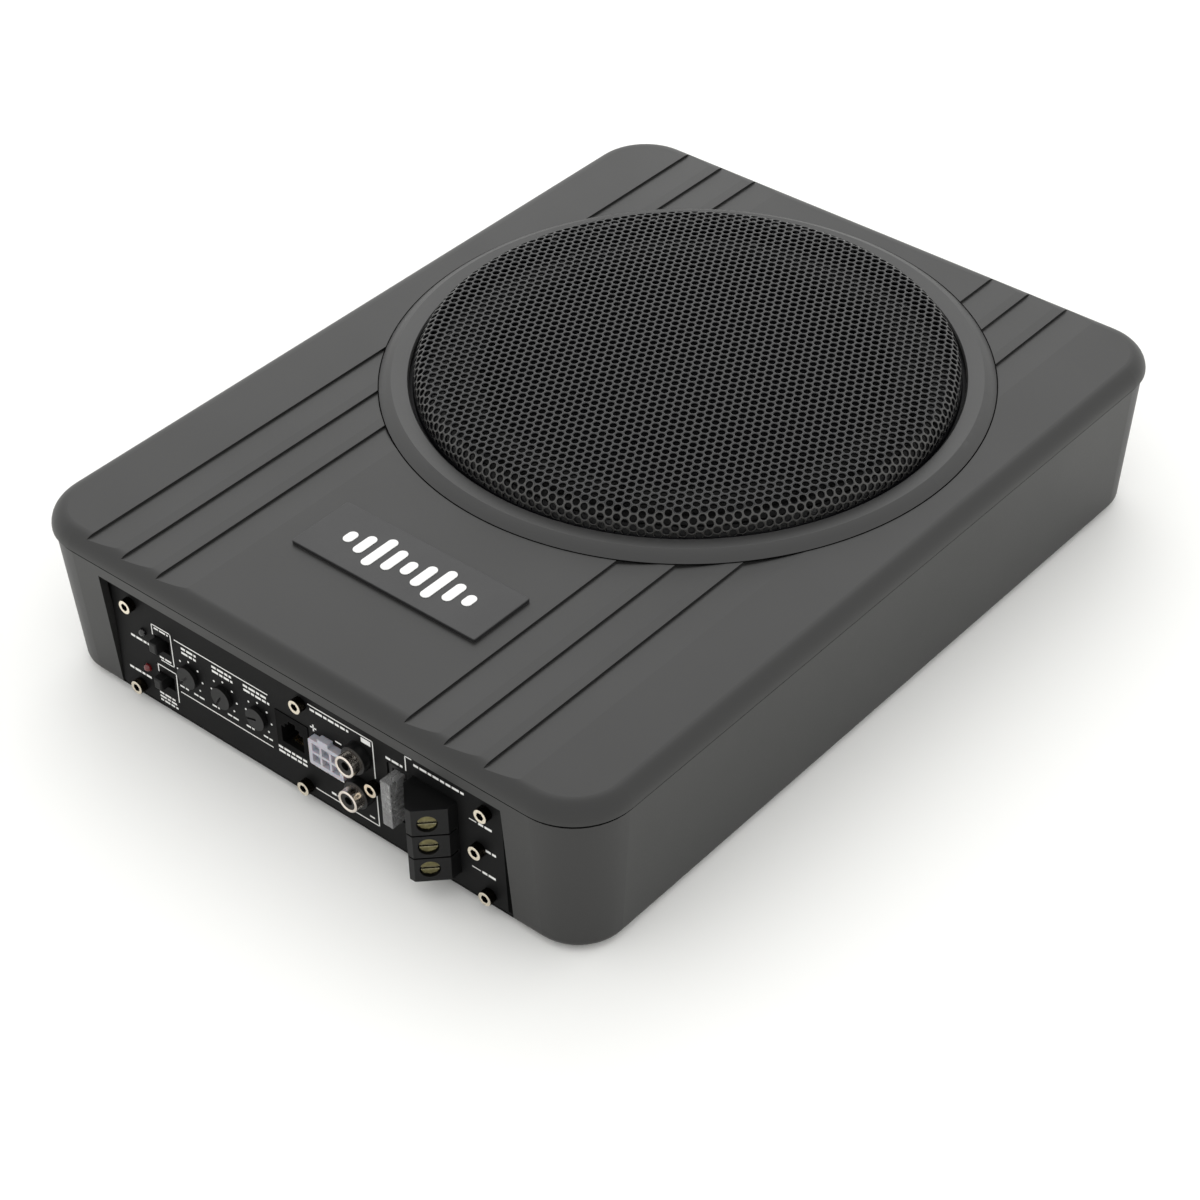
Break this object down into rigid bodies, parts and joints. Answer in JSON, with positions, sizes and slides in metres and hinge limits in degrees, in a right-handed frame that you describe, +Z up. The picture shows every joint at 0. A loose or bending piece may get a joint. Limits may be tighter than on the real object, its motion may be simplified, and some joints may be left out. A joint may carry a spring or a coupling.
{
  "type": "powered car subwoofer",
  "caption": "Low rounded case with a domed round metal grille on top and a control and connector panel at one end; plays bass under a car seat.",
  "frame": {"origin": "middle of the footprint, on the floor", "axes": "+Z up, -Y towards the control panel, +X to the right when facing the panel"},
  "size_m": [0.252, 0.336, 0.0795],
  "materials": {
    "case_plastic": "matte",
    "ring_plastic": "satin",
    "grille_paint": "satin",
    "badge_plastic": "satin",
    "panel_paint": "matte",
    "screw_nickel": "polished",
    "screw_zinc": "satin",
    "knob_plastic": "matte",
    "black_plastic": "satin",
    "nylon": "satin",
    "lamp_dark": "gloss",
    "lamp_red": "gloss",
    "fuse_clear": "gloss",
    "contact_nickel": "polished",
    "contact_brass": "polished",
    "rubber": "matte",
    "foam": "matte",
    "basket_steel": "satin",
    "plate_steel": "satin",
    "ferrite": "matte",
    "cone_paper": "matte",
    "former_kapton": "satin",
    "copper": "satin",
    "spider_cloth": "matte",
    "board": "satin",
    "heat_aluminium": "satin",
    "capacitor_sleeve": "satin",
    "wire_sleeve": "satin"
  },
  "bodies": {
    "case": {"badge_plate": "badge_plastic", "basket": "basket_steel", "board_screws": "screw_zinc", "case_screws": "screw_zinc", "connector_pins": "contact_brass", "control_panel": "panel_paint", "driver_screws": "screw_zinc", "driver_seal": "foam", "driver_terminals": "contact_brass", "feet": "rubber", "filter_capacitors": "capacitor_sleeve", "front_board": "board", "fuse_holder": "black_plastic", "grille": "grille_paint", "grille_ring": "ring_plastic", "heat_sink": "heat_aluminium", "high_level_connector": "nylon", "jack_contacts": "contact_brass", "lamp_power": "lamp_dark", "lamp_protect": "lamp_red", "lower_tub": "case_plastic", "magnet": "ferrite", "main_board": "board", "panel_screws": "screw_nickel", "pot_bass_boost": "black_plastic", "pot_level": "black_plastic", "pot_low_pass": "black_plastic", "power_transistors": "black_plastic", "rca_block": "black_plastic", "rca_shells": "contact_nickel", "remote_jack": "black_plastic", "speaker_wires": "wire_sleeve", "spider": "spider_cloth", "surround": "rubber", "switch_lower": "black_plastic", "switch_upper": "black_plastic", "terminal_block": "black_plastic", "top_cover": "case_plastic", "top_plate": "plate_steel", "toroid": "copper", "yoke": "plate_steel"},
    "cone_assembly": {"cone": "cone_paper", "dust_cap": "cone_paper", "coil_former": "former_kapton", "coil_winding": "copper"},
    "control_low_pass": {"knob_low_pass": "knob_plastic"},
    "control_bass": {"knob_bass_boost": "knob_plastic"},
    "control_level": {"knob_level": "knob_plastic"},
    "switch_slider_upper": {"slider_upper": "knob_plastic"},
    "switch_slider_lower": {"slider_lower": "knob_plastic"},
    "fuse_link": {"fuse": "fuse_clear"},
    "clamp_low": {"wire_clamp_low": "contact_brass"},
    "screw_low": {"terminal_screw_low": "contact_brass"},
    "clamp_middle": {"wire_clamp_middle": "contact_brass"},
    "screw_middle": {"terminal_screw_middle": "contact_brass"},
    "clamp_high": {"wire_clamp_high": "contact_brass"},
    "screw_high": {"terminal_screw_high": "contact_brass"}
  },
  "joints": [
    {"name": "cone_travel", "type": "slide", "parent": "case", "child": "cone_assembly", "axis": [0, 0, 1], "range_m": [-0.004, 0.004], "stiffness_N_per_m": 3500, "deforming": ["surround", "spider"]},
    {"name": "turn_low_pass", "type": "hinge", "parent": "case", "child": "control_low_pass", "pos_m": [-0.0545, -0.1555, 0.0252], "axis": [0, 1, 0], "range_deg": [-11, 289]},
    {"name": "turn_bass", "type": "hinge", "parent": "case", "child": "control_bass", "pos_m": [-0.038, -0.1555, 0.0252], "axis": [0, 1, 0], "range_deg": [0, 300]},
    {"name": "turn_level", "type": "hinge", "parent": "case", "child": "control_level", "pos_m": [-0.0215, -0.1555, 0.0252], "axis": [0, 1, 0], "range_deg": [-44, 256]},
    {"name": "slide_upper", "type": "slide", "parent": "case", "child": "switch_slider_upper", "axis": [1, 0, 0], "range_m": [0, 0.0026]},
    {"name": "slide_lower", "type": "slide", "parent": "case", "child": "switch_slider_lower", "axis": [1, 0, 0], "range_m": [0, 0.0026]},
    {"name": "fuse_pull", "type": "slide", "parent": "case", "child": "fuse_link", "axis": [0, -1, 0], "range_m": [0, 0.022]},
    {"name": "clamp_travel_low", "type": "slide", "parent": "case", "child": "clamp_low", "axis": [-0.7071, 0.7071, 0], "range_m": [0, 0.0028]},
    {"name": "screw_turn_low", "type": "hinge", "parent": "clamp_low", "child": "screw_low", "pos_m": [0.06375, -0.16445, 0.0144], "axis": [-0.7071, 0.7071, 0], "range_deg": [0, 1440]},
    {"name": "clamp_travel_middle", "type": "slide", "parent": "case", "child": "clamp_middle", "axis": [-0.7071, 0.7071, 0], "range_m": [0, 0.0028]},
    {"name": "screw_turn_middle", "type": "hinge", "parent": "clamp_middle", "child": "screw_middle", "pos_m": [0.06375, -0.16445, 0.0242], "axis": [-0.7071, 0.7071, 0], "range_deg": [0, 1440]},
    {"name": "clamp_travel_high", "type": "slide", "parent": "case", "child": "clamp_high", "axis": [-0.7071, 0.7071, 0], "range_m": [0, 0.0028]},
    {"name": "screw_turn_high", "type": "hinge", "parent": "clamp_high", "child": "screw_high", "pos_m": [0.06375, -0.16445, 0.034], "axis": [-0.7071, 0.7071, 0], "range_deg": [0, 1440]}
  ],
  "couplings": [
    {"joint": "screw_turn_low", "follows": "clamp_travel_low", "rad_per_m": 8976},
    {"joint": "screw_turn_middle", "follows": "clamp_travel_middle", "rad_per_m": 8976},
    {"joint": "screw_turn_high", "follows": "clamp_travel_high", "rad_per_m": 8976}
  ]
}
